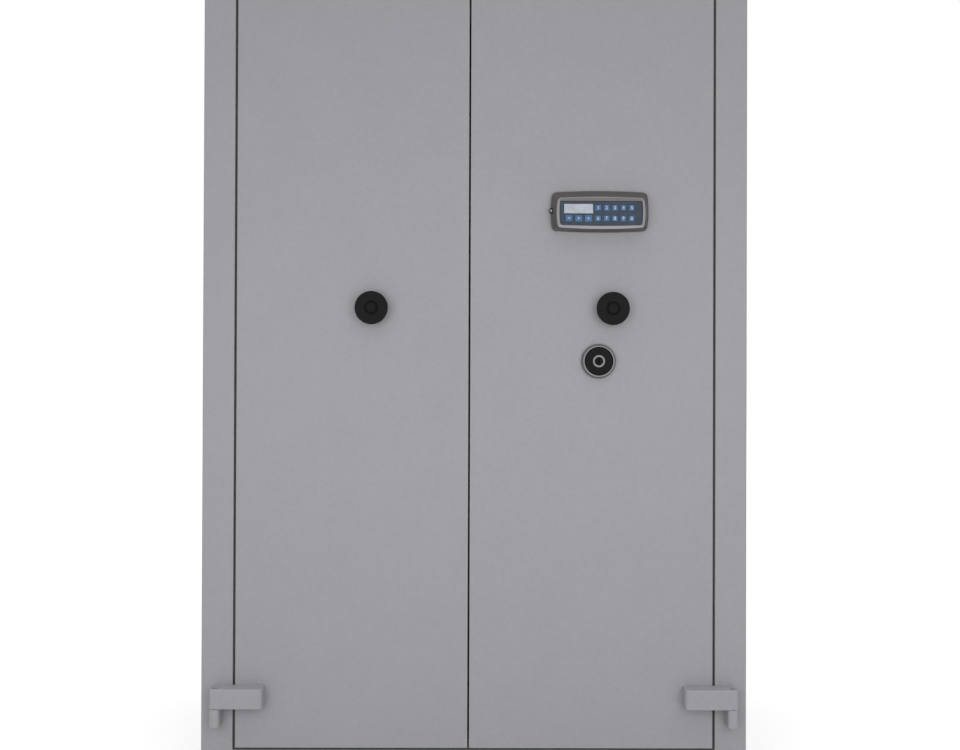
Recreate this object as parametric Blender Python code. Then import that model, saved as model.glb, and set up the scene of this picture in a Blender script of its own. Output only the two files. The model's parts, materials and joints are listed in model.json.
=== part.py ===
"""Steel security cabinet: two leaves on outside hinges, turning knobs that throw
bolts through racks and pinions, an electronic keypad lock and a key lock."""
import math

import bmesh
import bpy
from mathutils import Matrix, Vector

# Body and door frame, in metres
BODY_WIDTH = 0.950
BODY_HEIGHT = 1.800
BODY_DEPTH = 0.500
WALL = 0.030
BACK_WALL = 0.030
FRAME_FACE = 0.055
STOP_REACH = 0.015
STOP_THICKNESS = 0.006
STOP_CLEARANCE = 0.0025
FOLD_RADIUS = 0.0025
FIT = 0.0003
NEAR = 1e-6
CUT_PAST = 0.010
ANCHOR_DIAMETER = 0.014
ANCHOR_SPAN_X = 0.640
ANCHOR_SPAN_Y = 0.260

# Door leaves
DOOR_GAP = 0.0045
MEETING_GAP = 0.0032
MEETING_X = -0.010
PLATE = 0.006
TRAY_DEPTH = 0.050
TRAY_WALL = 0.003
TRAY_INSET = 0.017
ACTIVE_INSET = 0.010
KEEP_WIDTH = 0.012
KEEP_DEPTH = 0.018
COVER = 0.0022
COVER_INSET = 0.0005
COVER_EDGE = 0.0013

# Outside hinges
HINGE_FROM_SIDE = 0.030
HINGE_PROUD = 0.028
HINGE_HALF_WIDTH = 0.0085
HINGE_CORNER = 0.0025
PIN_STANDOFF = 0.019
PIN_RADIUS = 0.005
KNUCKLE_HEIGHT = 0.034
HINGE_FROM_END = 0.0753
ARM_LENGTH = 0.082
HINGE_EDGE = 0.001
PIN_RECESS = 0.004
RUNNING_GAP = 0.0005

# Knobs and boltwork
KNOB_Z = 0.8245
LEFT_KNOB_X = -0.1795
RIGHT_KNOB_X = 0.2382
KNOB_RADIUS = 0.0288
KNOB_PROUD = 0.024
KNOB_CAP_RADIUS = 0.0086
KNOB_CLEARANCE = 0.001
KNOB_SOCKET = 0.0165
SHAFT_RADIUS = 0.006
KNOB_TURN = math.radians(90.0)
TEETH = 14
MODULE = 0.002
BACKLASH = 0.0003
ROD_WIDTH = 0.0139
ROD_THICKNESS = 0.008
ROD_DEPTH = 0.018
ROD_TEETH = 8
ROD_FIRST_TOOTH = -5.5
GEAR_MARGIN = 0.001
BAR_DEPTH = 0.030
BAR_TEETH = 7
BAR_FIRST_TOOTH = -1.0
BOLT_RADIUS = 0.009
BOLT_LENGTH = 0.120
BOLT_SHOWS = 0.002
BOLT_CHAMFER = 0.0015
BOLT_SOCKET = 0.010
SIDE_BOLT_SPACING = 0.360
CARRIER_WIDTH = 0.014
CARRIER_CLEARANCE = 0.004
CARRIER_OFFSET = 0.001
BOLT_ROOT = 0.002
LUG_WIDTH = 0.006
LUG_HEIGHT = 0.020
LUG_INSET = 0.001
LUG_ROOT = 0.003
LUG_CLEARANCE = 0.003

# Key lock
LOCK_X = 0.2150
LOCK_Z = 0.7336
LOCK_RADIUS = 0.0300
LOCK_PROUD = 0.0108
ROSETTE_RADIUS = 0.0240
COLLAR_RADIUS = 0.0105
PLUG_RADIUS = 0.0068
LOCK_LIP = 0.0008
LOCK_SLOPE = 0.0034
KEYWAY_WIDTH = 0.0022
KEYWAY_HEIGHT = 0.0090
LOCK_CASE_WIDTH = 0.068
LOCK_CASE_HEIGHT = 0.082
LOCK_CASE_DEPTH = 0.034
LOCK_BOLT_WIDTH = 0.010
LOCK_BOLT_THICKNESS = 0.008
LOCK_BOLT_LENGTH = 0.034
LOCK_BOLT_SHOWS = 0.001
LOCK_BOLT_CHAMFER = 0.001
KEY_BOLT_OFFSET = 0.010
CASE_EDGE = 0.0015

# Electronic lock behind the keypad
MOTOR_CASE_X = 0.125
MOTOR_CASE_WIDTH = 0.060
MOTOR_CASE_HEIGHT = 0.085

# Keypad
KEYPAD_X = 0.2160
KEYPAD_Z = 0.9940
KEYPAD_WIDTH = 0.1700
KEYPAD_HEIGHT = 0.0712
KEYPAD_PROUD = 0.028
KEYPAD_CORNER = 0.006
END_SWELL = 0.0030
LONG_SWELL = 0.0026
WALL_RISE = 0.0075
SHOULDER_RISE = 0.0118
SHOULDER_INSET = 0.0022
FOOT_RISE = 0.0243
RIM_RUN = 0.0042
RIM_CREST = 0.0010
RIM_CORNER = 0.0045
CREST_WIDTH = 0.1434
CREST_HEIGHT = 0.0478
CREST_SWELL = 0.0012
FACE_DROP = 0.0040
PANEL_DROP = 0.0024
PANEL_WIDTH = 0.1412
PANEL_HEIGHT = 0.0410
PANEL_THICKNESS = 0.002
PANEL_SUNK = 0.0015
PANEL_LEDGE = 0.003
MOUTH_GAP = 0.0005
MOUTH_CORNER = 0.0008
CORNER_STEPS = 4
SIDE_STEPS = (7, 5)
KEY_WELL = 0.0045
KEY_PROUD = 0.0010
KEY_FLANGE = 0.0008
KEY_FLANGE_SHEET = 0.001
KEY_EDGE = 0.0006
DISPLAY_X = -0.0387
DISPLAY_Z = 0.0081
DISPLAY_WIDTH = 0.0504
DISPLAY_HEIGHT = 0.0168
DISPLAY_SUNK = 0.0004
FUNCTION_KEY_WIDTH = 0.0125
FUNCTION_KEY_HEIGHT = 0.0114
FUNCTION_KEY_PITCH = 0.0167
FUNCTION_KEY_Z = -0.0090
NUMBER_KEY_WIDTH = 0.0102
NUMBER_KEY_HEIGHT = 0.0104
NUMBER_KEY_PITCH = 0.01445
NUMBER_KEY_X = -0.0051
NUMBER_ROW_Z = 0.0095
NUMBER_ROW_PITCH = 0.0183

# Shelving
SHELF_NAMES = ("lower_shelf", "middle_shelf", "upper_shelf")
SHELF_FRONT = 0.080
SHELF_BACK_GAP = 0.030
SHELF_SHEET = 0.002
SHELF_FLANGE = 0.030
SHELF_SIDE_GAP = 0.002
UPRIGHT_WIDTH = 0.030
UPRIGHT_DEPTH = 0.012
UPRIGHT_SHEET = 0.002
UPRIGHT_INSET = 0.045
SLOT_PITCH = 0.075
SLOT_FIRST = 0.040
SLOT_WIDTH = 0.008
SLOT_HEIGHT = 0.016
TAB_WIDTH = 0.016
TAB_REACH = 0.014
TAB_SHEET = 0.003

# Places that follow from the sizes above
FRONT = -BODY_DEPTH / 2
REAR = BODY_DEPTH / 2
INNER_X = BODY_WIDTH / 2 - WALL
OPENING_X = BODY_WIDTH / 2 - FRAME_FACE
INNER_TOP = BODY_HEIGHT - WALL
OPENING_BOTTOM = FRAME_FACE
OPENING_TOP = BODY_HEIGHT - FRAME_FACE
STOP_FRONT = PLATE + STOP_CLEARANCE
FRAME_DEPTH = STOP_FRONT + STOP_THICKNESS
LEAF_BOTTOM = OPENING_BOTTOM + DOOR_GAP
LEAF_TOP = OPENING_TOP - DOOR_GAP
TRAY_BOTTOM = LEAF_BOTTOM + TRAY_INSET
TRAY_TOP = LEAF_TOP - TRAY_INSET
PIN_Y = FRONT - PIN_STANDOFF
HINGE_X = BODY_WIDTH / 2 - HINGE_FROM_SIDE
HINGE_FRONT = FRONT - HINGE_PROUD
SWING_RADIUS = PIN_STANDOFF - FIT
LOWER_HINGE_Z = LEAF_BOTTOM + HINGE_FROM_END
UPPER_HINGE_Z = LEAF_TOP - HINGE_FROM_END
PITCH_RADIUS = MODULE * TEETH / 2
TOOTH_PITCH = math.pi * MODULE
ADDENDUM = 0.8 * MODULE
DEDENDUM = 1.05 * MODULE
PRESSURE_ANGLE = math.radians(20.0)
THROW = PITCH_RADIUS * KNOB_TURN
BAR_Z = KNOB_Z - PITCH_RADIUS - DEDENDUM - ROD_WIDTH / 2
BAR_TOP = BAR_Z + ROD_WIDTH / 2
BAR_BOTTOM = BAR_Z - ROD_WIDTH / 2
KEYPAD_FACE_Z = KEYPAD_Z - FACE_DROP
PANEL_Z = KEYPAD_FACE_Z - PANEL_DROP
PANEL_FRONT = KEYPAD_PROUD - PANEL_SUNK
PANEL_BACK = PANEL_FRONT - PANEL_THICKNESS
WELL_FLOOR = PANEL_BACK - FIT - KEY_WELL
UPRIGHT_FACE = INNER_X - FIT - UPRIGHT_DEPTH
SHELF_HALF = UPRIGHT_FACE - SHELF_SIDE_GAP
SHELF_DEPTH = BODY_DEPTH - BACK_WALL - SHELF_FRONT - SHELF_BACK_GAP
SHELF_SLOTS = round((INNER_TOP - WALL) / (len(SHELF_NAMES) + 1) / SLOT_PITCH)
SHELF_RISE = SHELF_SLOTS * SLOT_PITCH

for leftover in list(bpy.data.objects):
    bpy.data.objects.remove(leftover)


def material(name, colour, roughness, metallic=0.0):
    """A Principled material in one colour."""
    made = bpy.data.materials.new(name)
    made.use_nodes = True
    shader = made.node_tree.nodes["Principled BSDF"]
    shader.inputs["Base Color"].default_value = (*colour, 1.0)
    shader.inputs["Roughness"].default_value = roughness
    shader.inputs["Metallic"].default_value = metallic
    return made


BODY_PAINT = material("body_paint", (0.36, 0.355, 0.375), 0.5)
INSIDE_PAINT = material("interior_paint", (0.42, 0.42, 0.43), 0.55)
STEEL = material("steel", (0.46, 0.46, 0.47), 0.35, 1.0)
CHROME = material("chrome", (0.75, 0.75, 0.77), 0.12, 1.0)
BLACK = material("black_plastic", (0.013, 0.013, 0.014), 0.42)
SHELL = material("keypad_shell", (0.16, 0.155, 0.155), 0.35, 0.6)
FOIL = material("keypad_foil", (0.05, 0.055, 0.065), 0.4)
KEY_BLUE = material("key_blue", (0.17, 0.27, 0.42), 0.4)
GLASS = material("display", (0.45, 0.48, 0.53), 0.2)


def place(name, bm, look, origin=(0.0, 0.0, 0.0), parent=None, smooth=False):
    """Turn a mesh drawn in world space into a named object with its own origin."""
    home = Vector(origin)
    bmesh.ops.translate(bm, verts=bm.verts, vec=-home)
    mesh = bpy.data.meshes.new(name)
    bm.to_mesh(mesh)
    bm.free()
    mesh.materials.append(look)
    made = bpy.data.objects.new(name, mesh)
    bpy.context.scene.collection.objects.link(made)
    made.location = home
    if parent is not None:
        made.parent = parent
        made.location = home - Vector(parent["home"])
    if smooth:
        mesh.shade_smooth()
        mesh.set_sharp_from_angle(angle=math.radians(35.0))
    return made


def axis_empty(name, home, parent=None):
    """An empty that stands on a joint's axis."""
    made = bpy.data.objects.new(name, None)
    bpy.context.scene.collection.objects.link(made)
    made["home"] = tuple(home)
    made.location = Vector(home)
    if parent is not None:
        made.parent = parent
        made.location = Vector(home) - Vector(parent["home"])
    return made


def boolean(target, bm, operation):
    """Cut a mesh out of an object, or join it on, with a hidden helper."""
    mesh = bpy.data.meshes.new(target.name + "_" + operation.lower())
    bm.to_mesh(mesh)
    bm.free()
    helper = bpy.data.objects.new(mesh.name, mesh)
    bpy.context.scene.collection.objects.link(helper)
    helper.hide_render = True
    helper.display_type = "WIRE"
    step = target.modifiers.new(operation.lower(), "BOOLEAN")
    step.operation = operation
    step.solver = "EXACT"
    step.object = helper


def box(low, high):
    """A closed box between two corners."""
    bm = bmesh.new()
    size = Vector(high) - Vector(low)
    middle = (Vector(high) + Vector(low)) / 2
    scale = Matrix.Diagonal((size.x, size.y, size.z, 1.0))
    bmesh.ops.create_cube(bm, size=1.0, matrix=Matrix.Translation(middle) @ scale)
    return bm


def round_bar(start, end, radius, segments=24):
    """A closed cylinder between two points."""
    bm = bmesh.new()
    run = Vector(end) - Vector(start)
    turn = run.to_track_quat("Z", "Y").to_matrix().to_4x4()
    spot = Matrix.Translation((Vector(start) + Vector(end)) / 2)
    bmesh.ops.create_cone(bm, cap_ends=True, segments=segments, radius1=radius,
                          radius2=radius, depth=run.length, matrix=spot @ turn)
    return bm


def gathered(parts):
    """Several meshes that stay apart, gathered into one."""
    whole = bmesh.new()
    for part in parts:
        spare = bpy.data.meshes.new("spare")
        part.to_mesh(spare)
        part.free()
        whole.from_mesh(spare)
        bpy.data.meshes.remove(spare)
    return whole


def extruded(outline, place_point, start, end):
    """An outline of (u, v) points drawn out from start to end."""
    bm = bmesh.new()
    corners = [bm.verts.new(place_point(u, v, start)) for u, v in outline]
    face = bm.faces.new(corners)
    grown = bmesh.ops.extrude_face_region(bm, geom=[face])
    moved = [item for item in grown["geom"] if isinstance(item, bmesh.types.BMVert)]
    shift = Vector(place_point(0.0, 0.0, end)) - Vector(place_point(0.0, 0.0, start))
    bmesh.ops.translate(bm, verts=moved, vec=shift)
    face_out(bm)
    return bm


def turned(profile, x, z, segments=32):
    """A closed profile of (radius, height in front of the leaf) spun about a Y axis."""
    bm = bmesh.new()
    points = [bm.verts.new((x + radius, FRONT - height, z)) for radius, height in profile]
    edges = [bm.edges.new(pair) for pair in zip(points, points[1:] + points[:1])]
    on_axis = [edge for edge in edges if all(abs(v.co.x - x) < NEAR for v in edge.verts)]
    bmesh.ops.delete(bm, geom=on_axis, context="EDGES")
    bmesh.ops.spin(bm, geom=bm.verts[:] + bm.edges[:], cent=(x, FRONT, z), axis=(0.0, 1.0, 0.0),
                   angle=2 * math.pi, steps=segments, use_merge=True)
    bmesh.ops.remove_doubles(bm, verts=bm.verts, dist=NEAR)
    face_out(bm)
    return bm


def stepped(us, vs, reach, place_point):
    """Blocks that stand to different heights on one flat base, as one solid.

    The base is a grid on us and vs, and reach(u, v) is a block's height, or 0 for none.
    """
    bm = bmesh.new()
    corners = {}
    for i, u in enumerate(us):
        for j, v in enumerate(vs):
            corners[i, j] = bm.verts.new((u, v, 0.0))
    heights = set()
    for i in range(len(us) - 1):
        for j in range(len(vs) - 1):
            height = reach((us[i] + us[i + 1]) / 2, (vs[j] + vs[j + 1]) / 2)
            if height > 0:
                heights.add(height)
                ring = ((i, j), (i + 1, j), (i + 1, j + 1), (i, j + 1))
                bm.faces.new([corners[spot] for spot in ring])
    bmesh.ops.delete(bm, geom=[v for v in bm.verts if not v.link_faces], context="VERTS")
    level = 0.0
    for height in sorted(heights):
        rising = [face for face in bm.faces if is_rising(face, level, height, reach)]
        grown = bmesh.ops.extrude_face_region(bm, geom=rising)
        moved = [item for item in grown["geom"] if isinstance(item, bmesh.types.BMVert)]
        bmesh.ops.translate(bm, verts=moved, vec=(0.0, 0.0, height - level))
        if level > 0:
            bmesh.ops.delete(bm, geom=rising, context="FACES")
        level = height
    bmesh.ops.recalc_face_normals(bm, faces=bm.faces)
    bmesh.ops.dissolve_limit(bm, angle_limit=0.01, verts=bm.verts, edges=bm.edges)
    for vert in bm.verts:
        vert.co = place_point(*vert.co)
    face_out(bm)
    return bm


def is_rising(face, level, height, reach):
    """Whether a face at this level belongs to a block that is taller."""
    if any(abs(vert.co.z - level) > NEAR for vert in face.verts):
        return False
    middle = face.calc_center_median()
    return reach(middle.x, middle.y) > height - NEAR


def face_out(bm):
    """Turn every face of a closed mesh to the outside."""
    bmesh.ops.recalc_face_normals(bm, faces=bm.faces)
    if bm.calc_volume(signed=True) < 0:
        bmesh.ops.reverse_faces(bm, faces=bm.faces)


def round_edges(bm, chosen, radius, segments=2):
    """Round the edges that a test picks out."""
    edges = [edge for edge in bm.edges if chosen(edge)]
    bmesh.ops.bevel(bm, geom=edges, offset=radius, segments=segments, profile=0.5,
                    affect="EDGES", clamp_overlap=True)


def on_outer_fold(edge):
    """Whether an edge lies where two outside faces of the body meet."""
    sides = [(0, -BODY_WIDTH / 2), (0, BODY_WIDTH / 2), (1, FRONT), (1, REAR), (2, 0.0), (2, BODY_HEIGHT)]
    planes = 0
    for index, plane in sides:
        if all(abs(vert.co[index] - plane) < NEAR for vert in edge.verts):
            planes += 1
    return planes >= 2


def make_side_panel(name, side):
    """A filled double-skin side wall, folded round into the door jamb and its stop."""
    stop_low = OPENING_BOTTOM + STOP_REACH + FIT
    stop_high = OPENING_TOP - STOP_REACH - FIT

    def reach(depth, z):
        if depth > FRAME_DEPTH:
            return WALL
        if depth > STOP_FRONT and stop_low < z < stop_high:
            return FRAME_FACE + STOP_REACH
        return FRAME_FACE

    def at(depth, z, thickness):
        return (side * (BODY_WIDTH / 2 - thickness), FRONT + depth, z)

    depths = (0.0, STOP_FRONT, FRAME_DEPTH, BODY_DEPTH)
    bm = stepped(depths, (0.0, stop_low, stop_high, BODY_HEIGHT), reach, at)
    round_edges(bm, on_outer_fold, FOLD_RADIUS)
    place(name, bm, BODY_PAINT)


def make_end_panel(name, is_top):
    """The roof or the floor, with the head or sill of the door frame and its stop."""
    half = INNER_X - FIT
    frame_half = OPENING_X - FIT
    wing = FRAME_DEPTH + FIT

    def reach(x, depth):
        if abs(x) > frame_half and depth < wing:
            return 0.0
        if depth > FRAME_DEPTH:
            return WALL
        if depth > STOP_FRONT:
            return FRAME_FACE + STOP_REACH
        return FRAME_FACE

    def at(x, depth, thickness):
        return (x, FRONT + depth, BODY_HEIGHT - thickness if is_top else thickness)

    depths = (0.0, STOP_FRONT, FRAME_DEPTH, wing, BODY_DEPTH)
    bm = stepped((-half, -frame_half, frame_half, half), depths, reach, at)
    round_edges(bm, on_outer_fold, FOLD_RADIUS)
    panel = place(name, bm, BODY_PAINT)
    if not is_top:
        holes = []
        for x in (-ANCHOR_SPAN_X / 2, ANCHOR_SPAN_X / 2):
            for y in (-ANCHOR_SPAN_Y / 2, ANCHOR_SPAN_Y / 2):
                holes.append(round_bar((x, y, -WALL), (x, y, 2 * WALL), ANCHOR_DIAMETER / 2, 16))
        boolean(panel, gathered(holes), "DIFFERENCE")


def make_back_panel():
    """The rear wall, set between the other walls."""
    half = INNER_X - FIT
    low = (-half, REAR - BACK_WALL, WALL + FIT)
    high = (half, REAR, INNER_TOP - FIT)
    place("back_panel", box(low, high), BODY_PAINT)


def shelf_tops():
    """Heights of the shelves' upper faces, each a whole number of slots above the last."""
    return [WALL + SHELF_RISE * (index + 1) for index in range(len(SHELF_NAMES))]


def make_upright(name, side, depth):
    """A slotted channel on the side wall, with the tabs that carry the shelves."""
    low = WALL + FIT
    high = INNER_TOP - FIT
    half = UPRIGHT_WIDTH / 2
    inner_half = half - UPRIGHT_SHEET
    middle = FRONT + depth

    def reach(v, _z):
        return UPRIGHT_DEPTH if abs(v) > inner_half else UPRIGHT_SHEET

    def at(v, z, thickness):
        return (side * (UPRIGHT_FACE + thickness), middle + v, z)

    bm = stepped((-half, -inner_half, inner_half, half), (low, high), reach, at)
    upright = place(name, bm, INSIDE_PAINT)
    slots = []
    z = low + SLOT_FIRST
    while z < high - SLOT_PITCH / 2:
        near = side * (UPRIGHT_FACE - UPRIGHT_SHEET)
        far = side * (UPRIGHT_FACE + 2 * UPRIGHT_SHEET)
        slots.append(box((min(near, far), middle - SLOT_WIDTH / 2, z - SLOT_HEIGHT / 2),
                         (max(near, far), middle + SLOT_WIDTH / 2, z + SLOT_HEIGHT / 2)))
        z += SLOT_PITCH
    boolean(upright, gathered(slots), "DIFFERENCE")
    tabs = []
    for top in shelf_tops():
        seat = top - SHELF_FLANGE - FIT
        near = side * (UPRIGHT_FACE - TAB_REACH)
        far = side * (UPRIGHT_FACE + UPRIGHT_SHEET / 2)
        tabs.append(box((min(near, far), middle - TAB_WIDTH / 2, seat - TAB_SHEET),
                        (max(near, far), middle + TAB_WIDTH / 2, seat)))
    boolean(upright, gathered(tabs), "UNION")


def make_shelf(name, top):
    """A folded shelf with flanges turned down on all four sides."""
    back = SHELF_FRONT + SHELF_DEPTH
    xs = (-SHELF_HALF, -SHELF_HALF + SHELF_SHEET, SHELF_HALF - SHELF_SHEET, SHELF_HALF)
    depths = (SHELF_FRONT, SHELF_FRONT + SHELF_SHEET, back - SHELF_SHEET, back)

    def reach(x, depth):
        inside = abs(x) < xs[2] and depths[1] < depth < depths[2]
        return SHELF_SHEET if inside else SHELF_FLANGE

    def at(x, depth, drop):
        return (x, FRONT + depth, top - drop)

    place(name, stepped(xs, depths, reach, at), INSIDE_PAINT)


def make_carcass():
    """Walls, frame, slotted uprights and shelves."""
    make_side_panel("left_side_panel", -1)
    make_side_panel("right_side_panel", 1)
    make_end_panel("top_panel", True)
    make_end_panel("floor_panel", False)
    make_back_panel()
    front_depth = SHELF_FRONT + UPRIGHT_INSET
    rear_depth = SHELF_FRONT + SHELF_DEPTH - UPRIGHT_INSET
    for side, word in ((-1, "left"), (1, "right")):
        make_upright(word + "_front_upright", side, front_depth)
        make_upright(word + "_rear_upright", side, rear_depth)
    for name, top in zip(SHELF_NAMES, shelf_tops()):
        make_shelf(name, top)


def arc(centre_x, centre_y, radius, start, end, steps=5):
    """Points of an arc in plan, with its angles in degrees from +X towards +Y."""
    points = []
    for step in range(steps + 1):
        turn = math.radians(start + (end - start) * step / steps)
        points.append((centre_x + radius * math.cos(turn), centre_y + radius * math.sin(turn)))
    return points


def knuckle_outline(x):
    """Plan of the frame's knuckle: a block with its two front edges rounded."""
    seat = FRONT - FIT
    low = x - HINGE_HALF_WIDTH
    high = x + HINGE_HALF_WIDTH
    round_y = HINGE_FRONT + HINGE_CORNER
    points = [(high, seat), (low, seat)]
    points += arc(low + HINGE_CORNER, round_y, HINGE_CORNER, 180.0, 270.0)
    points += arc(high - HINGE_CORNER, round_y, HINGE_CORNER, 270.0, 360.0)
    return points


def arm_outline(side, x):
    """Plan of the leaf's arm, whose outer end is cut back so that it swings clear of the frame."""
    seat = FRONT - FIT
    inner = ARM_LENGTH - HINGE_CORNER
    flank = math.degrees(math.acos(HINGE_HALF_WIDTH / SWING_RADIUS))
    round_y = HINGE_FRONT + HINGE_CORNER
    points = arc(inner, round_y, HINGE_CORNER, 360.0, 270.0)
    points += arc(HINGE_CORNER - HINGE_HALF_WIDTH, round_y, HINGE_CORNER, 270.0, 180.0)
    points += arc(0.0, PIN_Y, SWING_RADIUS, 180.0 - flank, 90.0)
    points.append((ARM_LENGTH, seat))
    return [(x - side * u, y) for u, y in points]


def in_plan(x, y, z):
    """A plan outline is drawn in X and Y and drawn out along Z."""
    return (x, y, z)


def make_hinge(side, word, part_z, door_axis):
    """Welded knuckle on the frame, its pin, and the arm that carries the leaf."""
    x = side * HINGE_X
    low = part_z - KNUCKLE_HEIGHT
    block = extruded(knuckle_outline(x), in_plan, low, part_z - RUNNING_GAP)
    knuckle = place(word + "_hinge_knuckle", block, BODY_PAINT)
    soften(knuckle, HINGE_EDGE)
    bore = PIN_RADIUS + FIT
    pin_low = low + PIN_RECESS
    pin_high = part_z + KNUCKLE_HEIGHT - PIN_RECESS
    socket = round_bar((x, PIN_Y, pin_low - FIT), (x, PIN_Y, part_z + CUT_PAST), bore, 20)
    boolean(knuckle, socket, "DIFFERENCE")
    pin = round_bar((x, PIN_Y, pin_low), (x, PIN_Y, pin_high), PIN_RADIUS, 20)
    place(word + "_hinge_pin", pin, STEEL, (x, PIN_Y, part_z), smooth=True)
    arm_bm = extruded(arm_outline(side, x), in_plan, part_z, part_z + KNUCKLE_HEIGHT)
    arm = place(word + "_hinge_arm", arm_bm, BODY_PAINT, (x, PIN_Y, part_z), door_axis)
    soften(arm, HINGE_EDGE)
    through = round_bar((x, PIN_Y, low), (x, PIN_Y, part_z + 2 * KNUCKLE_HEIGHT), bore, 20)
    boolean(arm, through, "DIFFERENCE")


def soften(target, width):
    """Break the sharp edges of a block."""
    step = target.modifiers.new("edges", "BEVEL")
    step.width = width
    step.segments = 1
    step.limit_method = "ANGLE"
    step.angle_limit = math.radians(50.0)


def leaf_edges(side):
    """X of a leaf's hinge edge, meeting edge and the two tray walls' outer faces."""
    hinge = side * (OPENING_X - DOOR_GAP)
    meeting = MEETING_X + side * MEETING_GAP / 2
    tray_hinge = hinge - side * TRAY_INSET
    tray_meeting = meeting + side * (ACTIVE_INSET if side > 0 else TRAY_INSET)
    return hinge, meeting, tray_hinge, tray_meeting


def make_leaf(name, side, look, home, door_axis):
    """Front plate with the tray walls behind it and, on the left leaf, the keep strip."""
    hinge, meeting, tray_hinge, tray_meeting = leaf_edges(side)
    keep = meeting + side * KEEP_WIDTH
    xs = [hinge, meeting, tray_hinge, tray_meeting]
    xs += [tray_hinge - side * TRAY_WALL, tray_meeting + side * TRAY_WALL]
    if side < 0:
        xs.append(keep)
    xs.sort()
    zs = [LEAF_BOTTOM, TRAY_BOTTOM, TRAY_BOTTOM + TRAY_WALL]
    zs += [TRAY_TOP - TRAY_WALL, TRAY_TOP, LEAF_TOP]
    tray_low = min(tray_hinge, tray_meeting)
    tray_high = max(tray_hinge, tray_meeting)

    def reach(x, z):
        in_tray = tray_low < x < tray_high and TRAY_BOTTOM < z < TRAY_TOP
        if in_tray:
            clear_x = tray_low + TRAY_WALL < x < tray_high - TRAY_WALL
            clear_z = TRAY_BOTTOM + TRAY_WALL < z < TRAY_TOP - TRAY_WALL
            return PLATE if clear_x and clear_z else TRAY_DEPTH
        if side < 0 and x > keep and TRAY_BOTTOM < z < TRAY_TOP:
            return KEEP_DEPTH
        return PLATE

    def at(x, z, depth):
        return (x, FRONT + depth, z)

    return place(name, stepped(xs, zs, reach, at), look, home, door_axis)


def make_cover(name, side, home, door_axis):
    """The sheet that closes the tray behind the boltwork, with its edges turned."""
    _, _, tray_hinge, tray_meeting = leaf_edges(side)
    low_x = min(tray_hinge, tray_meeting) + COVER_INSET
    high_x = max(tray_hinge, tray_meeting) - COVER_INSET
    start = FRONT + TRAY_DEPTH + FIT
    low = (low_x, start, TRAY_BOTTOM + COVER_INSET)
    high = (high_x, start + COVER, TRAY_TOP - COVER_INSET)
    bm = box(low, high)

    def is_back(edge):
        return all(vert.co.y > start + COVER / 2 for vert in edge.verts)

    round_edges(bm, is_back, COVER_EDGE, 1)
    place(name, bm, INSIDE_PAINT, home, door_axis)


def make_knob(name, x, turn_axis):
    """A dished round knob with a raised cap in the middle, bored for its shaft."""
    top = KNOB_PROUD
    rim = KNOB_RADIUS
    cap = KNOB_CAP_RADIUS
    bore = SHAFT_RADIUS + FIT
    profile = [(0.0, KNOB_SOCKET), (bore, KNOB_SOCKET), (bore, KNOB_CLEARANCE)]
    profile += [(rim * 0.60, KNOB_CLEARANCE)]
    profile += [(rim * 0.60, top * 0.14), (rim * 0.55, top * 0.24), (rim * 0.58, top * 0.40)]
    profile += [(rim * 0.78, top * 0.56), (rim * 0.95, top * 0.67), (rim, top * 0.76)]
    profile += [(rim, top * 0.85), (rim * 0.975, top * 0.915), (rim * 0.91, top * 0.95)]
    profile += [(cap * 1.30, top * 0.925), (cap * 1.12, top * 0.890), (cap * 1.03, top * 0.890)]
    profile += [(cap * 0.97, top * 0.945), (cap * 0.80, top * 0.985), (0.0, top)]
    place(name, turned(profile, x, KNOB_Z), BLACK, (x, FRONT, KNOB_Z), turn_axis, smooth=True)


def involute(radius):
    """Involute function at a radius of the pinion."""
    base = PITCH_RADIUS * math.cos(PRESSURE_ANGLE)
    angle = math.acos(min(1.0, base / max(radius, base)))
    return math.tan(angle) - angle


def pinion_outline():
    """Plan of the pinion, one tooth pointing along +X, as (x, z) about its axis."""
    half_pitch = (TOOTH_PITCH / 2 - BACKLASH) / (2 * PITCH_RADIUS)
    offsets = (-DEDENDUM, -ADDENDUM / 2, 0.0, ADDENDUM)
    flank = []
    for offset in offsets:
        radius = PITCH_RADIUS + offset
        flank.append((radius, half_pitch + involute(PITCH_RADIUS) - involute(radius)))
    points = []
    for tooth in range(TEETH):
        middle = 2 * math.pi * tooth / TEETH
        for radius, half in flank:
            points.append((radius * math.cos(middle - half), radius * math.sin(middle - half)))
        for radius, half in reversed(flank):
            points.append((radius * math.cos(middle + half), radius * math.sin(middle + half)))
    return points


def make_pinion(name, x, turn_axis):
    """The knob's shaft with its pinion, in one piece."""
    outline = pinion_outline()
    start = FRONT + ROD_DEPTH - GEAR_MARGIN
    end = FRONT + BAR_DEPTH + ROD_THICKNESS + GEAR_MARGIN
    gear = extruded(outline, lambda u, v, y: (x + u, y, KNOB_Z + v), start, end)
    made = place(name, gear, STEEL, (x, FRONT, KNOB_Z), turn_axis)
    front_end = FRONT - KNOB_SOCKET + FIT
    shaft = round_bar((x, front_end, KNOB_Z), (x, FRONT + TRAY_DEPTH, KNOB_Z), SHAFT_RADIUS, 20)
    boolean(made, shaft, "UNION")


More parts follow.
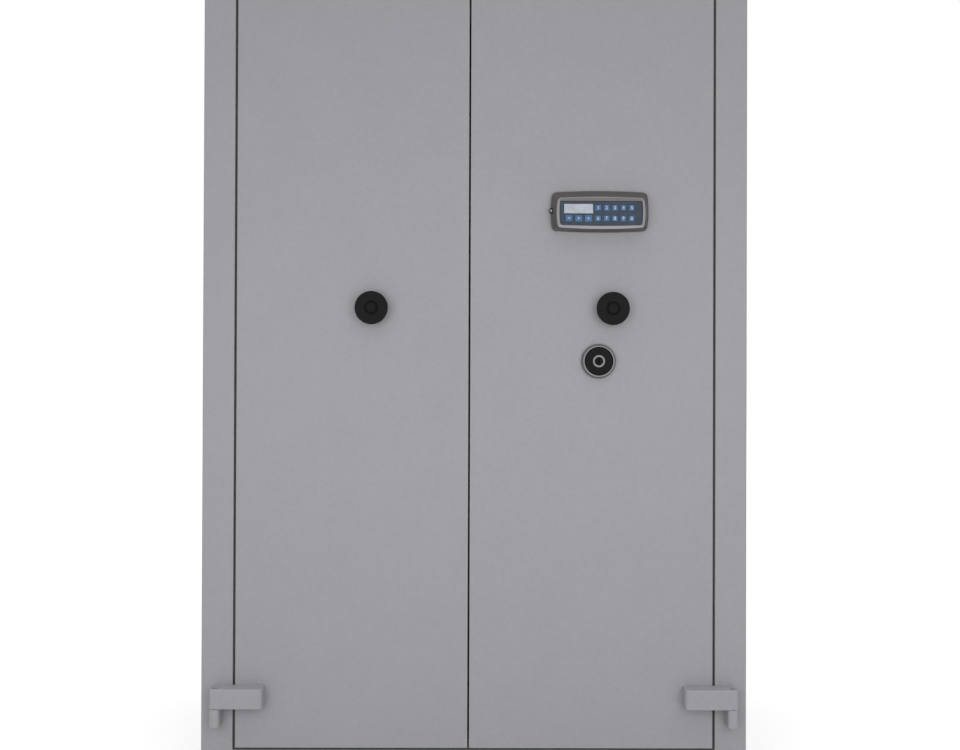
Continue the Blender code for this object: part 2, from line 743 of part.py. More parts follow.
def rack_outline(first, count, far_end, near_end):
    """A toothed bar as (along, across): teeth reach past 0 towards +, its back lies at -.

    Across is counted from the pitch line, so the teeth tips are at +ADDENDUM.
    """
    half = (TOOTH_PITCH / 2 - BACKLASH) / 2
    lean = math.tan(PRESSURE_ANGLE)
    back = -DEDENDUM - ROD_WIDTH
    points = [(near_end, back), (far_end, back), (far_end, -DEDENDUM)]
    teeth = []
    for index in range(count):
        middle = first + index * TOOTH_PITCH
        teeth.append((middle - half - DEDENDUM * lean, -DEDENDUM))
        teeth.append((middle - half + ADDENDUM * lean, ADDENDUM))
        teeth.append((middle + half - ADDENDUM * lean, ADDENDUM))
        teeth.append((middle + half + DEDENDUM * lean, -DEDENDUM))
    points += reversed(teeth) if far_end > near_end else teeth
    points.append((near_end, -DEDENDUM))
    return points


def make_rod(name, x, up, home, door_axis):
    """A vertical rod: rack beside the pinion at one end, round bolt at the other."""
    first = ROD_FIRST_TOOTH * TOOTH_PITCH
    near = first - TOOTH_PITCH
    tray_end = TRAY_TOP if up else TRAY_BOTTOM
    way = 1 if up else -1
    tip = way * (tray_end - KNOB_Z) + BOLT_SHOWS
    outline = rack_outline(first, ROD_TEETH, tip - BOLT_LENGTH + BOLT_SOCKET, near)

    def at(along, across, y):
        return (x - way * (PITCH_RADIUS - across), y, KNOB_Z + way * along)

    start = FRONT + ROD_DEPTH
    bm = extruded(outline, at, start, start + ROD_THICKNESS)
    rod = place(name, bm, STEEL, home, door_axis)
    centre = x - way * (PITCH_RADIUS + DEDENDUM + ROD_WIDTH / 2)
    depth = FRONT + ROD_DEPTH + BOLT_RADIUS
    low = (centre, depth, KNOB_Z + way * (tip - BOLT_LENGTH))
    boolean(rod, bolt_pin(low, (centre, depth, KNOB_Z + way * tip)), "UNION")


def bolt_pin(start, end):
    """A round bolt whose end is chamfered."""
    bm = round_bar(start, end, BOLT_RADIUS, 20)
    tip = Vector(end)

    def is_tip(edge):
        return all((vert.co - tip).length < BOLT_RADIUS + NEAR for vert in edge.verts)

    round_edges(bm, is_tip, BOLT_CHAMFER, 1)
    return bm


def make_bolt_bar(name, home, door_axis):
    """The right leaf's cross bar: rack under the pinion, lugs, carrier and side bolts."""
    x = RIGHT_KNOB_X
    _, _, _, tray_edge = leaf_edges(1)
    carrier = tray_edge + TRAY_WALL + THROW + CARRIER_CLEARANCE
    first = BAR_FIRST_TOOTH * TOOTH_PITCH
    far_end = carrier - x + CARRIER_WIDTH / 2
    outline = rack_outline(first, BAR_TEETH, far_end, first + BAR_TEETH * TOOTH_PITCH)

    def at(along, across, y):
        return (x + along, y, KNOB_Z - PITCH_RADIUS + across)

    start = FRONT + BAR_DEPTH
    end = start + ROD_THICKNESS
    bar = place(name, extruded(outline, at, start, end), STEEL, home, door_axis)
    reach = SIDE_BOLT_SPACING + BOLT_RADIUS * 2
    strip = box((carrier, start - CARRIER_OFFSET, BAR_Z - reach),
                (carrier + CARRIER_WIDTH, end - CARRIER_OFFSET, BAR_Z + reach))
    boolean(bar, strip, "UNION")
    parts = []
    root = carrier + CARRIER_WIDTH - BOLT_ROOT
    for step in (-1, 0, 1):
        z = BAR_Z + step * SIDE_BOLT_SPACING
        parts.append(bolt_pin((root, start, z), (tray_edge - BOLT_SHOWS, start, z)))
    key_lug = key_bolt_x() + LOCK_BOLT_WIDTH / 2 + lug_gap()
    parts.append(box((key_lug, start + LUG_INSET, BAR_BOTTOM - LUG_HEIGHT),
                     (key_lug + LUG_WIDTH, end - LUG_INSET, BAR_BOTTOM + LUG_ROOT)))
    motor_lug = MOTOR_CASE_X + LOCK_BOLT_WIDTH / 2 + lug_gap()
    parts.append(box((motor_lug, start + LUG_INSET, BAR_TOP - LUG_ROOT),
                     (motor_lug + LUG_WIDTH, end - LUG_INSET, BAR_TOP + LUG_HEIGHT)))
    boolean(bar, gathered(parts), "UNION")


def lug_gap():
    """Air on each side of a lock bolt once it stands beside a lug."""
    return (THROW - LOCK_BOLT_WIDTH - LUG_WIDTH) / 2


def key_bolt_x():
    """The key lock's bolt stands a little left of its plug."""
    return LOCK_X - KEY_BOLT_OFFSET


def make_lock_case(word, x, width, ends, bolt_x, upward, home, door_axis):
    """A lock case on the back of the plate, with a bolt that slides out of one end."""
    low, high = ends
    start = FRONT + PLATE + FIT
    bm = box((x - width / 2, start, low), (x + width / 2, start + LOCK_CASE_DEPTH, high))
    case = place(word + "_lock_case", bm, STEEL, home, door_axis)
    soften(case, CASE_EDGE)
    way = 1 if upward else -1
    mouth = high if upward else low
    inner = mouth - way * LOCK_BOLT_LENGTH
    tip = mouth + way * LOCK_BOLT_SHOWS
    boolean(case, bolt_block(bolt_x, inner - way * FIT, mouth + way * CUT_PAST, FIT), "DIFFERENCE")
    bolt = bolt_block(bolt_x, inner, tip, 0.0)

    def is_tip(edge):
        return all(abs(vert.co.z - tip) < NEAR for vert in edge.verts)

    round_edges(bolt, is_tip, LOCK_BOLT_CHAMFER, 1)
    place(word + "_lock_bolt", bolt, STEEL, (bolt_x, FRONT + BAR_DEPTH, mouth), door_axis)


def bolt_block(x, start_z, end_z, margin):
    """A lock bolt, or the room for one, between two heights."""
    half_width = LOCK_BOLT_WIDTH / 2 + margin
    half_depth = LOCK_BOLT_THICKNESS / 2 + margin
    middle = FRONT + BAR_DEPTH + ROD_THICKNESS / 2
    return box((x - half_width, middle - half_depth, min(start_z, end_z)),
               (x + half_width, middle + half_depth, max(start_z, end_z)))


def make_key_lock(home, door_axis):
    """Chrome escutcheon with a black insert, and the plug that the key turns."""
    top = LOCK_PROUD
    bore = PLUG_RADIUS + FIT
    floor = top * 0.38
    wall = ROSETTE_RADIUS + FIT
    edge = LOCK_RADIUS
    cup = [(bore, FIT), (edge, FIT), (edge, top * 0.58), (edge * 0.99, top * 0.66)]
    cup += [(edge - LOCK_SLOPE, top * 0.93), (wall + LOCK_LIP, top)]
    cup += [(wall, top * 0.96), (wall, floor), (COLLAR_RADIUS, floor), (COLLAR_RADIUS, top * 0.97)]
    cup += [(COLLAR_RADIUS * 0.95, top * 1.03), (bore + LOCK_LIP, top * 1.03), (bore, top * 0.97)]
    place("key_lock_escutcheon", turned(cup, LOCK_X, LOCK_Z, 40), CHROME, home, door_axis, smooth=True)
    disc_edge = ROSETTE_RADIUS
    inner = COLLAR_RADIUS + FIT
    disc = [(inner, floor + FIT), (disc_edge, floor + FIT), (disc_edge, top * 0.86)]
    disc += [(disc_edge * 0.96, top * 0.92), (inner + LOCK_LIP, top * 0.86), (inner, top * 0.80)]
    place("key_lock_rosette", turned(disc, LOCK_X, LOCK_Z, 36), BLACK, home, door_axis, smooth=True)
    centre = (LOCK_X, FRONT, LOCK_Z)
    plug_axis = axis_empty("key_plug_axis", centre, door_axis)
    plug = [(0.0, -PLATE), (PLUG_RADIUS, -PLATE), (PLUG_RADIUS, top * 0.85)]
    plug += [(PLUG_RADIUS - LOCK_LIP, top * 0.90), (0.0, top * 0.90)]
    made = place("key_lock_plug", turned(plug, LOCK_X, LOCK_Z, 24), STEEL, centre, plug_axis)
    way = box((LOCK_X - KEYWAY_WIDTH / 2, FRONT - top * 2, LOCK_Z - KEYWAY_HEIGHT / 2),
              (LOCK_X + KEYWAY_WIDTH / 2, FRONT - top * 0.2, LOCK_Z + KEYWAY_HEIGHT / 2))
    boolean(made, way, "DIFFERENCE")


def cushion(width, height, corner, swell, drop, rise):
    """A ring of points: a rounded rectangle whose ends and long sides swell outwards."""
    half_x = width / 2 - swell[0]
    half_z = height / 2 - swell[1]
    ring = []
    for index, (way_x, way_z) in enumerate(((1, 1), (-1, 1), (-1, -1), (1, -1))):
        hub_x = way_x * (half_x - corner)
        hub_z = way_z * (half_z - corner)
        ring += arc(hub_x, hub_z, corner, 90.0 * index, 90.0 * index + 90.0, CORNER_STEPS)
        steps = SIDE_STEPS[index % 2]
        last_x, last_z = ring[-1]
        for step in range(1, steps):
            share = step / steps
            flip_x = last_x if index % 2 else last_x * (1 - 2 * share)
            flip_z = last_z * (1 - 2 * share) if index % 2 else last_z
            ring.append((flip_x, flip_z))
    points = []
    for x, z in ring:
        out_x = x + swell[0] * x / half_x * (1 - (z / half_z) ** 2)
        out_z = z + swell[1] * z / half_z * (1 - (x / half_x) ** 2)
        points.append((KEYPAD_X + out_x, FRONT - rise, KEYPAD_Z - drop + out_z))
    return points


def lofted(loops):
    """A solid skinned over loops of points, with flat ends."""
    bm = bmesh.new()
    rings = [[bm.verts.new(point) for point in loop] for loop in loops]
    count = len(rings[0])
    for near, far in zip(rings, rings[1:]):
        for index in range(count):
            after = (index + 1) % count
            bm.faces.new((near[index], near[after], far[after], far[index]))
    bm.faces.new(rings[0])
    bm.faces.new(rings[-1])
    face_out(bm)
    return bm


def housing_rings():
    """Rings of the keypad's casting, from its back over the rim and down into its mouth."""
    wide = KEYPAD_WIDTH
    tall = KEYPAD_HEIGHT
    swell = (END_SWELL, LONG_SWELL)
    inset = 2 * SHOULDER_INSET
    slight = (CREST_SWELL, CREST_SWELL)
    crest = 2 * RIM_CREST
    foot = crest + 2 * RIM_RUN
    fall = FACE_DROP + PANEL_DROP
    mouth_w = PANEL_WIDTH + 2 * (FIT + MOUTH_GAP)
    mouth_h = PANEL_HEIGHT + 2 * (FIT + MOUTH_GAP)
    under = PANEL_FRONT - PANEL_THICKNESS / 2
    rings = [cushion(wide, tall, KEYPAD_CORNER, swell, 0.0, FIT)]
    rings.append(cushion(wide, tall, KEYPAD_CORNER, swell, 0.0, WALL_RISE))
    rings.append(cushion(wide - inset, tall - inset, KEYPAD_CORNER, swell, 0.0, SHOULDER_RISE))
    rings.append(cushion(CREST_WIDTH + foot, CREST_HEIGHT + foot, RIM_CORNER, swell, FACE_DROP, FOOT_RISE))
    top = KEYPAD_PROUD
    rings.append(cushion(CREST_WIDTH + crest, CREST_HEIGHT + crest, RIM_CORNER, slight, FACE_DROP, top))
    rings.append(cushion(CREST_WIDTH, CREST_HEIGHT, RIM_CORNER - RIM_CREST, slight, FACE_DROP, top))
    rings.append(cushion(mouth_w, mouth_h, MOUTH_CORNER, (0.0, 0.0), fall, PANEL_FRONT))
    rings.append(cushion(mouth_w - MOUTH_GAP, mouth_h - MOUTH_GAP, MOUTH_CORNER, (0.0, 0.0), fall, under))
    return rings


def make_keypad_housing(home, door_axis):
    """A cast shell with swelling sides and a raised rim, hollowed in two steps for panel and keys."""
    shell = place("keypad_housing", lofted(housing_rings()), SHELL, home, door_axis)
    width = PANEL_WIDTH + 2 * FIT
    height = PANEL_HEIGHT + 2 * FIT
    past = KEYPAD_PROUD + CUT_PAST
    boolean(shell, panel_block(0.0, 0.0, width, height, PANEL_BACK - FIT, past), "DIFFERENCE")
    ledges = 2 * PANEL_LEDGE
    well = panel_block(0.0, 0.0, width - ledges, height - ledges, WELL_FLOOR, past)
    boolean(shell, well, "DIFFERENCE")


def key_layout():
    """Name, centre and size of every key, counted from the panel's middle."""
    keys = []
    for index, letter in enumerate("abc"):
        x = DISPLAY_X + (index - 1) * FUNCTION_KEY_PITCH
        size = (FUNCTION_KEY_WIDTH, FUNCTION_KEY_HEIGHT)
        keys.append(("function_key_" + letter, x, FUNCTION_KEY_Z, *size))
    for digit in range(1, 11):
        column = (digit - 1) % 5
        row = (digit - 1) // 5
        x = NUMBER_KEY_X + column * NUMBER_KEY_PITCH
        z = NUMBER_ROW_Z - row * NUMBER_ROW_PITCH
        keys.append(("number_key_" + str(digit % 10), x, z, NUMBER_KEY_WIDTH, NUMBER_KEY_HEIGHT))
    return keys


def panel_block(x, z, width, height, back, front):
    """A box on the keypad panel between two heights in front of the leaf."""
    middle_x = KEYPAD_X + x
    middle_z = PANEL_Z + z
    return box((middle_x - width / 2, FRONT - front, middle_z - height / 2),
               (middle_x + width / 2, FRONT - back, middle_z + height / 2))


def make_keypad(home, door_axis):
    """Housing, printed panel, display window and the spring keys."""
    make_keypad_housing(home, door_axis)
    panel_bm = panel_block(0.0, 0.0, PANEL_WIDTH, PANEL_HEIGHT, PANEL_BACK, PANEL_FRONT)
    panel = place("keypad_panel", panel_bm, FOIL, home, door_axis)
    back = PANEL_BACK - CUT_PAST
    past = PANEL_FRONT + CUT_PAST
    holes = [panel_block(DISPLAY_X, DISPLAY_Z, DISPLAY_WIDTH, DISPLAY_HEIGHT, back, past)]
    for _, x, z, width, height in key_layout():
        holes.append(panel_block(x, z, width + 2 * FIT, height + 2 * FIT, back, past))
    boolean(panel, gathered(holes), "DIFFERENCE")
    window = panel_block(DISPLAY_X, DISPLAY_Z, DISPLAY_WIDTH - 2 * FIT, DISPLAY_HEIGHT - 2 * FIT,
                         WELL_FLOOR + FIT, PANEL_FRONT - DISPLAY_SUNK)
    place("keypad_display", window, GLASS, home, door_axis)
    for name, x, z, width, height in key_layout():
        make_key(name, x, z, width, height, door_axis)


def make_key(name, x, z, width, height, door_axis):
    """A key cap with a flange behind the panel that keeps it in."""
    centre = (KEYPAD_X + x, FRONT - PANEL_FRONT, PANEL_Z + z)
    axis = axis_empty(name + "_axis", centre, door_axis)
    back = PANEL_BACK - FIT - KEY_FLANGE_SHEET
    us = (-width / 2 - KEY_FLANGE, -width / 2, width / 2, width / 2 + KEY_FLANGE)
    vs = (-height / 2 - KEY_FLANGE, -height / 2, height / 2, height / 2 + KEY_FLANGE)

    def reach(u, v):
        cap = abs(u) < width / 2 and abs(v) < height / 2
        return PANEL_FRONT + KEY_PROUD - back if cap else KEY_FLANGE_SHEET

    def at(u, v, rise):
        return (centre[0] + u, FRONT - back - rise, centre[2] + v)

    bm = stepped(us, vs, reach, at)
    front = FRONT - PANEL_FRONT - KEY_PROUD

    def is_front(edge):
        return all(abs(vert.co.y - front) < NEAR for vert in edge.verts)

    round_edges(bm, is_front, KEY_EDGE, 1)
    place(name, bm, KEY_BLUE, centre, axis)


def plate_hole(x, z, radius):
    """A cutter through the front plate."""
    return round_bar((x, FRONT - CUT_PAST, z), (x, FRONT + PLATE + CUT_PAST / 2, z), radius)


def leaf_holes(side, knob_x):
    """Cutters for a leaf's shafts, and for the bolts that pass through its tray walls."""
    holes = [plate_hole(knob_x, KNOB_Z, SHAFT_RADIUS + FIT)]
    offset = PITCH_RADIUS + DEDENDUM + ROD_WIDTH / 2
    depth = FRONT + ROD_DEPTH + BOLT_RADIUS
    guide = BOLT_RADIUS + FIT
    for way, z in ((1, TRAY_TOP), (-1, TRAY_BOTTOM)):
        x = knob_x - way * offset
        holes.append(round_bar((x, depth, z - CUT_PAST), (x, depth, z + CUT_PAST), guide, 20))
    if side > 0:
        _, _, _, edge = leaf_edges(side)
        y = FRONT + BAR_DEPTH
        for step in (-1, 0, 1):
            z = BAR_Z + step * SIDE_BOLT_SPACING
            holes.append(round_bar((edge - CUT_PAST / 2, y, z), (edge + CUT_PAST, y, z), guide, 20))
        holes.append(plate_hole(LOCK_X, LOCK_Z, PLUG_RADIUS + FIT))
    return holes


def make_leaf_group(side, word, knob_x):
    """One leaf with its hinges, knob, pinion and rods."""
    home = (side * HINGE_X, PIN_Y, 0.0)
    door_axis = axis_empty(word + "_door_axis", home)
    leaf = make_leaf(word + "_leaf", side, BODY_PAINT, home, door_axis)
    make_cover(word + "_inner_cover", side, home, door_axis)
    make_hinge(side, word + "_lower", LOWER_HINGE_Z, door_axis)
    make_hinge(side, word + "_upper", UPPER_HINGE_Z, door_axis)
    turn_axis = axis_empty(word + "_knob_axis", (knob_x, FRONT, KNOB_Z), door_axis)
    make_knob(word + "_knob", knob_x, turn_axis)
    make_pinion(word + "_pinion_shaft", knob_x, turn_axis)
    make_rod(word + "_top_rod", knob_x, True, home, door_axis)
    make_rod(word + "_bottom_rod", knob_x, False, home, door_axis)
    boolean(leaf, gathered(leaf_holes(side, knob_x)), "DIFFERENCE")
    return home, door_axis


def make_cabinet():
    """Every piece of the cabinet, in place with its doors shut and its bolts drawn."""
    make_carcass()
    make_leaf_group(-1, "left", LEFT_KNOB_X)
    home, door_axis = make_leaf_group(1, "right", RIGHT_KNOB_X)
    make_bolt_bar("right_bolt_bar", home, door_axis)
    make_key_lock(home, door_axis)
    key_top = BAR_BOTTOM - LUG_HEIGHT - LUG_CLEARANCE
    key_ends = (key_top - LOCK_CASE_HEIGHT, key_top)
    make_lock_case("key", LOCK_X, LOCK_CASE_WIDTH, key_ends, key_bolt_x(), True, home, door_axis)
    motor_low = BAR_TOP + LUG_HEIGHT + LUG_CLEARANCE
    motor_ends = (motor_low, motor_low + MOTOR_CASE_HEIGHT)
    motor_x = MOTOR_CASE_X
    make_lock_case("electronic", motor_x, MOTOR_CASE_WIDTH, motor_ends, motor_x, False, home, door_axis)
    make_keypad(home, door_axis)


make_cabinet()
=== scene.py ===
"""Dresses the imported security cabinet: finishes, printed keys, fastenings, light and camera."""
import json
import math

import bmesh
import bpy
from mathutils import Matrix, Vector


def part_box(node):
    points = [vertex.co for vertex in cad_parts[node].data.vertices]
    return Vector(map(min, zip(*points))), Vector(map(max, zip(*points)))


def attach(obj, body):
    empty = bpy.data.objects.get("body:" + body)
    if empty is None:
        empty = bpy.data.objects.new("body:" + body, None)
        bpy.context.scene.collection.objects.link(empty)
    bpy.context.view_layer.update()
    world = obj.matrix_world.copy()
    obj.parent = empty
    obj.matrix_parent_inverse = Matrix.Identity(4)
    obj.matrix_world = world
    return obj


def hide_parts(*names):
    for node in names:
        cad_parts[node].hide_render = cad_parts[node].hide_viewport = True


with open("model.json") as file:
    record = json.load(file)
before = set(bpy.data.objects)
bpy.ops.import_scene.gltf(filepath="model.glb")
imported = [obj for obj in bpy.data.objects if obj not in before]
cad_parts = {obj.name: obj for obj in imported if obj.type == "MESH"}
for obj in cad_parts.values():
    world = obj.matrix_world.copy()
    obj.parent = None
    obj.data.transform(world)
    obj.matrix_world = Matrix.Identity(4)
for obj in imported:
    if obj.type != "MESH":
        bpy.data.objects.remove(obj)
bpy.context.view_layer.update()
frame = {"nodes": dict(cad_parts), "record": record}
nodes = frame["nodes"]

# Front face of the leaves
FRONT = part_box("left_leaf")[0].y

# Camera, from the photograph's perspective
PHOTO_WIDTH = 960
FOCAL_PIXELS = 974.4
SENSOR = 36.0
CAMERA_PLACE = (0.0015, -1.950, 0.6991)
CAMERA_PITCH = 0.0058
CAMERA_YAW = -0.0042
CAMERA_ROLL = 0.0034

# Finishes, as linear colours, and the powder coat's gloss
PAINT = (0.345, 0.338, 0.360)
INSIDE_PAINT = (0.40, 0.40, 0.41)
ZINC = (0.50, 0.50, 0.50)
CHROME = (0.27, 0.27, 0.28)
BLACK = (0.0042, 0.0042, 0.0050)
RUBBER = (0.085, 0.085, 0.088)
PEWTER = (0.188, 0.181, 0.177)
# The rim's metal is lighter than the casting's: partly its polish, partly a painted highlight
RIM_METAL_PAINTED_HIGHLIGHT = (0.285, 0.277, 0.287)
PANEL_INK = (0.051, 0.065, 0.088)
KEY_BLUE = (0.074, 0.146, 0.272)
KEY_PRINT = (0.66, 0.74, 0.82)
DISPLAY_GREY = (0.435, 0.465, 0.520)
COAT_GLOSS = 0.35

# Levels of the studio's light, where 1 is white
SKY_LEVEL = 0.93
AROUND_LEVEL = 0.16
BEHIND_LEVEL = 0.85
FLOOR_COLOUR = (0.66, 0.66, 0.66)
FLOOR_GLOW = 0.50

# How high the light turns from its level around to the sky's, and how far back to the level behind
SKY_BAND = (0.2, 0.7)
BEHIND_BAND = (0.0, 0.35)

# The floor's reach to each side, in metres
FLOOR_REACH = 12.0

# Lamps: place and power in watts
LAMPS = {"left_lamp": ((-0.68, -1.7, 0.82), 6.6), "right_lamp": ((0.68, -1.7, 0.82), 6.95)}
LAMP_SIZE = 1.0
LAMP_AIM = (0.0, FRONT, 0.74)

# Angles in degrees: where smooth shading stops, what counts as flat, and which edges are rounded
SHARP_ANGLE = 38.0
FLAT_ANGLE = 0.5
EDGE_ANGLE = 40.0

# Widths of the rounded edges of CAD nodes by the end of their names, and of the keys
EDGE_WIDTHS = {"_panel": 0.0008, "_leaf": 0.0009, "_cover": 0.0006, "_shelf": 0.0008}
KEY_EDGE = 0.0003
JOIN_REACH = 0.00001

# Rounded corners in the turned profiles: the most they take of a side, and their reach in metres
ROUND_SHARE = 0.45
KNOB_ROUND = 0.0012
CUP_ROUND = 0.0008
INSERT_ROUND = 0.0006
SCREW_ROUND = 0.0006

# The knob: foot and tip in metres, then its profile from back to front as shares of radius and height
KNOB_FOOT = 0.001
KNOB_TIP = 0.0005
KNOB_SKIRT = 0.60
KNOB_PROFILE = (
    (KNOB_SKIRT, 0.14), (0.55, 0.24), (0.58, 0.40), (0.78, 0.56), (0.95, 0.67), (1.0, 0.76), (1.0, 0.88),
    (0.93, 0.95), (0.41, 0.915), (0.375, 0.830), (0.310, 0.830), (0.290, 0.935), (0.240, 0.965),
    (0.130, 0.995),
)

# The key lock: radial steps in metres, and heights as shares of its rise
LOCK_FOOT = 0.0006
LOCK_HEM = 0.0010
LOCK_FIT = 0.0003
LOCK_CONE = 0.0025
LOCK_LIP = 0.0031
LOCK_GROOVE = 0.0009
COLLAR_WALL = 0.0036
COLLAR_BREAK = 0.0008
BORE_BREAK = 0.0012
CUP_HEIGHTS = {
    "side": 0.52, "cone": 0.90, "lip": 0.965, "groove": 0.40, "collar": 0.96, "crown": 0.99, "mouth": 0.92,
}
INSERT_HEIGHTS = {"back": 0.42, "hem": 0.45, "mouth": 0.78, "side": 0.84, "edge": 0.90}
INSERT_EDGE = 0.96

# The seal and the screws of the inner covers, in metres
SEAL_DEPTH = 0.0019
SEAL_INSET = 0.0005
SEAL_LAP = 0.0145
SEAL_SINK = 0.0002
STOP_DEPTH = 0.0085
SCREW_RADIUS = 0.0045
SCREW_RISE = 0.0016
SCREW_PITCH = 0.260
SCREW_INSET = 0.012
SCREW_LIFT = 0.0001
SCREW_STEPS = 24

# A pan head from its foot up, as shares of radius and rise, the last ones with a hexagon's outline
PAN_HEAD = (
    (1.0, 0.0, False), (1.0, 0.45, False), (0.86, 0.85, False), (0.62, 1.0, False),
    (0.46, 1.0, True), (0.44, 0.35, True),
)

# Print on the keys, in metres
PRINT_RISE = 0.00004
DIGIT_SIZE = 0.0080

# Roundings of the hinges in metres: free end, barrel, knuckle, and their lower and upper edges
SMALLEST_ROUND = 0.0005
ARM_END_ROUND = 0.0070
BARREL_ROUND = 0.0045
KNUCKLE_ROUND = 0.0058
ARM_EDGES = (0.0012, 0.0024)
KNUCKLE_EDGES = (0.0040, 0.0010)

# The pin's bore: its play in metres, and its sides
BORE_FIT = 0.0003
BORE_STEPS = 36

# The keypad's casting, close to the source's, in metres
KEYPAD_X = 0.2160
KEYPAD_Z = 0.9940
KEYPAD_WIDTH = 0.1700
KEYPAD_HEIGHT = 0.0712
KEYPAD_CORNER = 0.0060
SWELL = (0.0030, 0.0026)
RIM_RUN = (0.0042, 0.0036)
RIM_CREST = 0.0010
RIM_CORNER = 0.0045
CREST_WIDTH = 0.1434
CREST_HEIGHT = 0.0478
CREST_SWELL = (0.0012, 0.0012)
FACE_DROP = 0.0040
FOOT_DROP = 0.0050
SIDE_STEPS = (28, 14)
CORNER_STEPS = 8

# Rings of the casting from back to front: how much larger or smaller, and how far in front of the leaf
CASTING_SIDES = ((0.0, 0.0004), (0.0, 0.0064), (0.0006, 0.0086), (0.0019, 0.0104), (0.0044, 0.0120))
CASTING_FOOT = (0.0010, 0.0244)
CASTING_FOOT_SHIFT = 0.97
RIM_FOOT = ((-0.0004, 0.0257), (-0.0012, 0.0261))
RIM_OUTSIDE = ((0.0012, 0.0274), (0.0003, 0.0279), (-0.0006, 0.0280))
RIM_INSIDE = ((0.0, 0.0280), (-0.0004, 0.0277))
# Bands of the casting that take the rim's lighter metal, a painted highlight on the rim
PAINTED_HIGHLIGHT_BANDS = range(6, 11)
WINDOW = ((0.0016, 0.0001), (0.0006, -0.0006), (0.0006, -0.0024))
WINDOW_CORNER = 0.0008

# The keypad's screw: its seat from the housing's left end, its lean, and profiles as radius and rise
SEAT_INSET = 0.0010
SEAT_PROUD = 0.0100
SEAT_LIFT = 0.0004
SEAT_LEAN = (-0.66, -0.75, 0.0)
KEYPAD_SCREW_STEPS = 40
KEYPAD_SCREW_HEAD = (
    (0.0003, 0.0004), (0.0028, 0.0004), (0.0031, 0.0014), (0.0029, 0.0022), (0.0021, 0.0031),
    (0.0011, 0.0036), (0.0003, 0.0037),
)
# A washer under the head, black as painted shade and a painted dark reflection below the dome
KEYPAD_SCREW_SHADE_WASHER = (
    (0.0003, -0.0015), (0.0046, -0.0015), (0.0050, 0.0008), (0.0045, 0.0014), (0.0034, 0.0014),
    (0.0033, 0.0002), (0.0003, 0.0002),
)


def linked(tree, source, target):
    """Join an output socket to an input socket."""
    tree.links.new(source, target)


def principled(name, colour, roughness, metallic=0.0):
    """A Principled material, with its node tree and shader."""
    made = bpy.data.materials.new(name)
    made.use_nodes = True
    tree = made.node_tree
    shader = tree.nodes["Principled BSDF"]
    shader.inputs["Base Color"].default_value = (*colour, 1.0)
    shader.inputs["Roughness"].default_value = roughness
    shader.inputs["Metallic"].default_value = metallic
    return made, tree, shader


def noise(tree, scale, detail=2.0, stretch=(1.0, 1.0, 1.0)):
    """Noise in object space, with its scale counted per metre."""
    place = tree.nodes.new("ShaderNodeTexCoord")
    mapping = tree.nodes.new("ShaderNodeMapping")
    mapping.inputs["Scale"].default_value = stretch
    texture = tree.nodes.new("ShaderNodeTexNoise")
    texture.inputs["Scale"].default_value = scale
    texture.inputs["Detail"].default_value = detail
    linked(tree, place.outputs["Object"], mapping.inputs["Vector"])
    linked(tree, mapping.outputs["Vector"], texture.inputs["Vector"])
    return texture.outputs["Fac"]


def ranged(tree, value, low, high, from_low=0.3, from_high=0.7):
    """A value stretched from its usual range to a new one."""
    node = tree.nodes.new("ShaderNodeMapRange")
    node.inputs["From Min"].default_value = from_low
    node.inputs["From Max"].default_value = from_high
    node.inputs["To Min"].default_value = low
    node.inputs["To Max"].default_value = high
    linked(tree, value, node.inputs["Value"])
    return node.outputs["Result"]


def shaded(colour, factor):
    """A colour made darker or lighter, as a socket value."""
    return tuple(min(1.0, part * factor) for part in colour) + (1.0,)


def mottled(tree, shader, colour, value, spread):
    """Vary the base colour a little either way."""
    mix = tree.nodes.new("ShaderNodeMix")
    mix.data_type = "RGBA"
    mix.inputs["A"].default_value = shaded(colour, 1.0 - spread)
    mix.inputs["B"].default_value = shaded(colour, 1.0 + spread)
    linked(tree, value, mix.inputs["Factor"])
    linked(tree, mix.outputs["Result"], shader.inputs["Base Color"])


def uneven(tree, shader, value, roughness, less, more):
    """Vary the roughness a little either way."""
    linked(tree, ranged(tree, value, roughness - less, roughness + more), shader.inputs["Roughness"])


def bumped(tree, shader, value, strength, distance):
    """Raise the surface by a texture."""
    node = tree.nodes.new("ShaderNodeBump")
    node.inputs["Strength"].default_value = strength
    node.inputs["Distance"].default_value = distance
    linked(tree, value, node.inputs["Height"])
    linked(tree, node.outputs["Normal"], shader.inputs["Normal"])


def added(tree, first, second, share):
    """One texture with a share of another on top."""
    node = tree.nodes.new("ShaderNodeMath")
    node.operation = "MULTIPLY_ADD"
    node.inputs[1].default_value = share
    linked(tree, second, node.inputs[0])
    linked(tree, first, node.inputs[2])
    return node.outputs["Value"]


def powder_coat(name, colour, roughness):
    """Powder-coated steel: fine orange peel, faint mottling and uneven gloss."""
    made, tree, shader = principled(name, colour, roughness)
    shader.inputs["Specular IOR Level"].default_value = COAT_GLOSS
    cloud = noise(tree, scale=14.0, detail=3.0)
    grain = noise(tree, scale=170.0)
    mixed = added(tree, cloud, grain, share=2.2)
    shade = ranged(tree, mixed, 0.0, 1.0, from_low=0.96, from_high=2.24)
    mottled(tree, shader, colour, shade, spread=0.036)
    uneven(tree, shader, grain, roughness, less=0.05, more=0.05)
    bumped(tree, shader, noise(tree, scale=300.0), strength=0.25, distance=0.0005)
    return made


def plated(name, colour, roughness, stretch):
    """Bright plated steel with drawn streaks."""
    made, tree, shader = principled(name, colour, roughness, 1.0)
    streaks = noise(tree, scale=300.0, detail=3.0, stretch=stretch)
    mottled(tree, shader, colour, ranged(tree, streaks, 0.0, 1.0), spread=0.10)
    uneven(tree, shader, streaks, roughness, less=0.08, more=0.10)
    bumped(tree, shader, streaks, strength=0.08, distance=0.0002)
    return made


